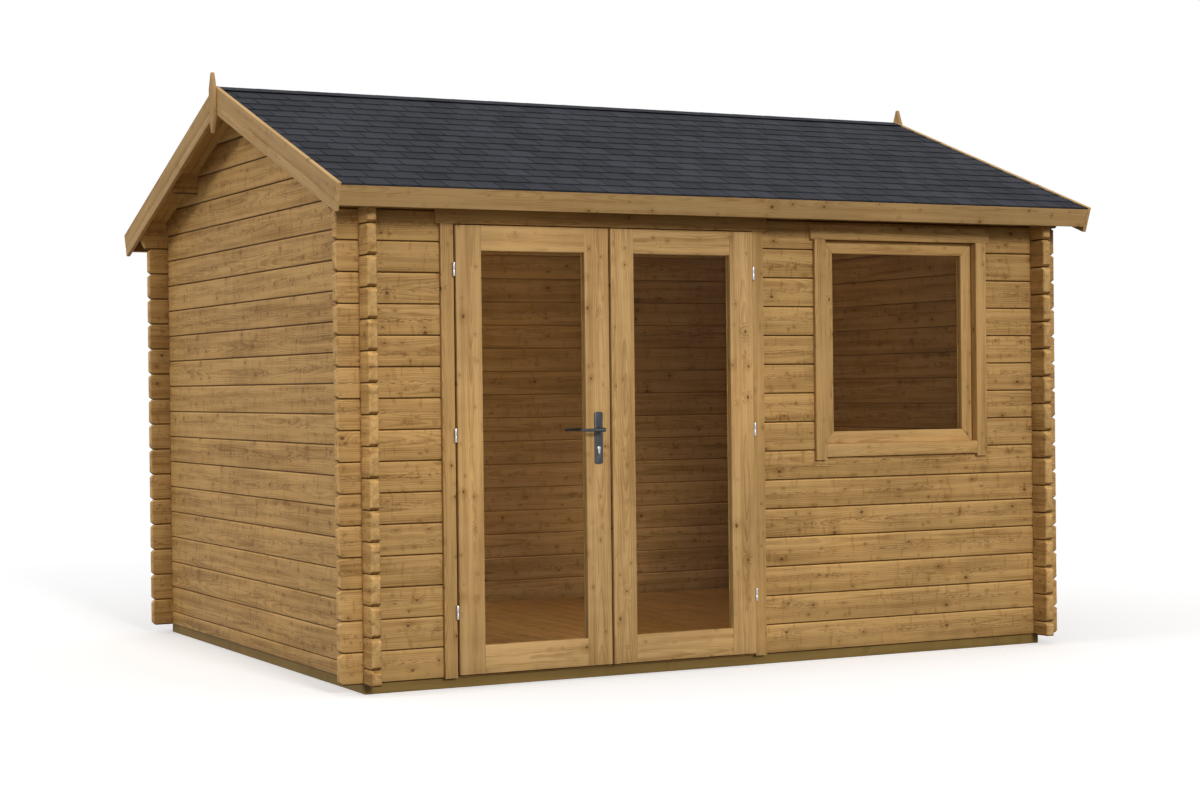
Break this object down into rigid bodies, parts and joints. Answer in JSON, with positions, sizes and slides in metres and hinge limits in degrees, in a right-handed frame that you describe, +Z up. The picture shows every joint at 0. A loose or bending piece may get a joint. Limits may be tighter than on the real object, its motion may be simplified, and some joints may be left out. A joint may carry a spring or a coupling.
{
  "type": "log cabin",
  "caption": "Log cabin of interlocking tongue-and-groove logs with a shingled gable roof, a pair of glazed doors on hinges with a lever handle, and a fixed window.",
  "frame": {"origin": "on the ground under the middle of the cabin, at the underside of the bearers", "axes": "+X along the front to the right, -Y out of the front with the doors and window, +Z up"},
  "size_m": [3.9748, 3.34, 2.8306],
  "materials": {
    "log_timber": "stained spruce logs",
    "board_timber": "stained spruce boards",
    "trim_timber": "stained spruce trim",
    "joinery_timber": "planed and stained spruce",
    "bearer_timber": "pressure-treated timber",
    "shingle": "mineral-faced bitumen shingle",
    "glass": "clear",
    "zinc": "bright zinc",
    "dark_metal": "satin anthracite"
  },
  "bodies": {
    "cabin": {"bearers": "bearer_timber", "floor_joists": "bearer_timber", "floor_boards": "board_timber", "front_wall_left_logs": "log_timber", "front_wall_lower_logs": "log_timber", "front_wall_middle_logs": "log_timber", "front_wall_right_logs": "log_timber", "front_window_head_log": "log_timber", "front_plate_log": "log_timber", "back_wall_logs": "log_timber", "back_plate_log": "log_timber", "left_wall_logs": "log_timber", "left_gable_logs": "log_timber", "right_wall_logs": "log_timber", "right_gable_logs": "log_timber", "ridge_purlin": "board_timber", "front_purlin": "board_timber", "back_purlin": "board_timber", "front_roof_boards": "board_timber", "back_roof_boards": "board_timber", "front_shingles": "shingle", "back_shingles": "shingle", "ridge_cap": "shingle", "front_fascia": "trim_timber", "back_fascia": "trim_timber", "left_barge_boards": "trim_timber", "right_barge_boards": "trim_timber", "finials": "trim_timber", "door_frame": "joinery_timber", "door_casings": "joinery_timber", "left_hinge_frame_halves": "zinc", "right_hinge_frame_halves": "zinc", "window_frame": "joinery_timber", "window_casings": "joinery_timber", "window_sash": "joinery_timber", "window_glass": "glass"},
    "left_door": {"left_door_frame": "joinery_timber", "left_door_glass": "glass", "left_hinge_leaf_halves": "zinc", "handle_plates": "dark_metal", "lock_cylinder": "zinc"},
    "right_door": {"right_door_frame": "joinery_timber", "right_door_glass": "glass", "right_hinge_leaf_halves": "zinc"},
    "handle_lever": {"handle_lever": "dark_metal"}
  },
  "joints": [
    {"name": "left_door_hinge", "type": "hinge", "parent": "cabin", "child": "left_door", "pos_m": [-1.37281, -1.4875, 0.058], "axis": [0, 0, -1], "range_deg": [0, 110]},
    {"name": "right_door_hinge", "type": "hinge", "parent": "cabin", "child": "right_door", "pos_m": [0.13419, -1.4875, 0.058], "axis": [0, 0, 1], "range_deg": [0, 110]},
    {"name": "lever_turn", "type": "hinge", "parent": "left_door", "child": "handle_lever", "pos_m": [-0.68281, -1.492, 1.11], "axis": [0, -1, 0], "range_deg": [0, 40], "stiffness_Nm_per_rad": 2, "springref_deg": -17.19}
  ]
}
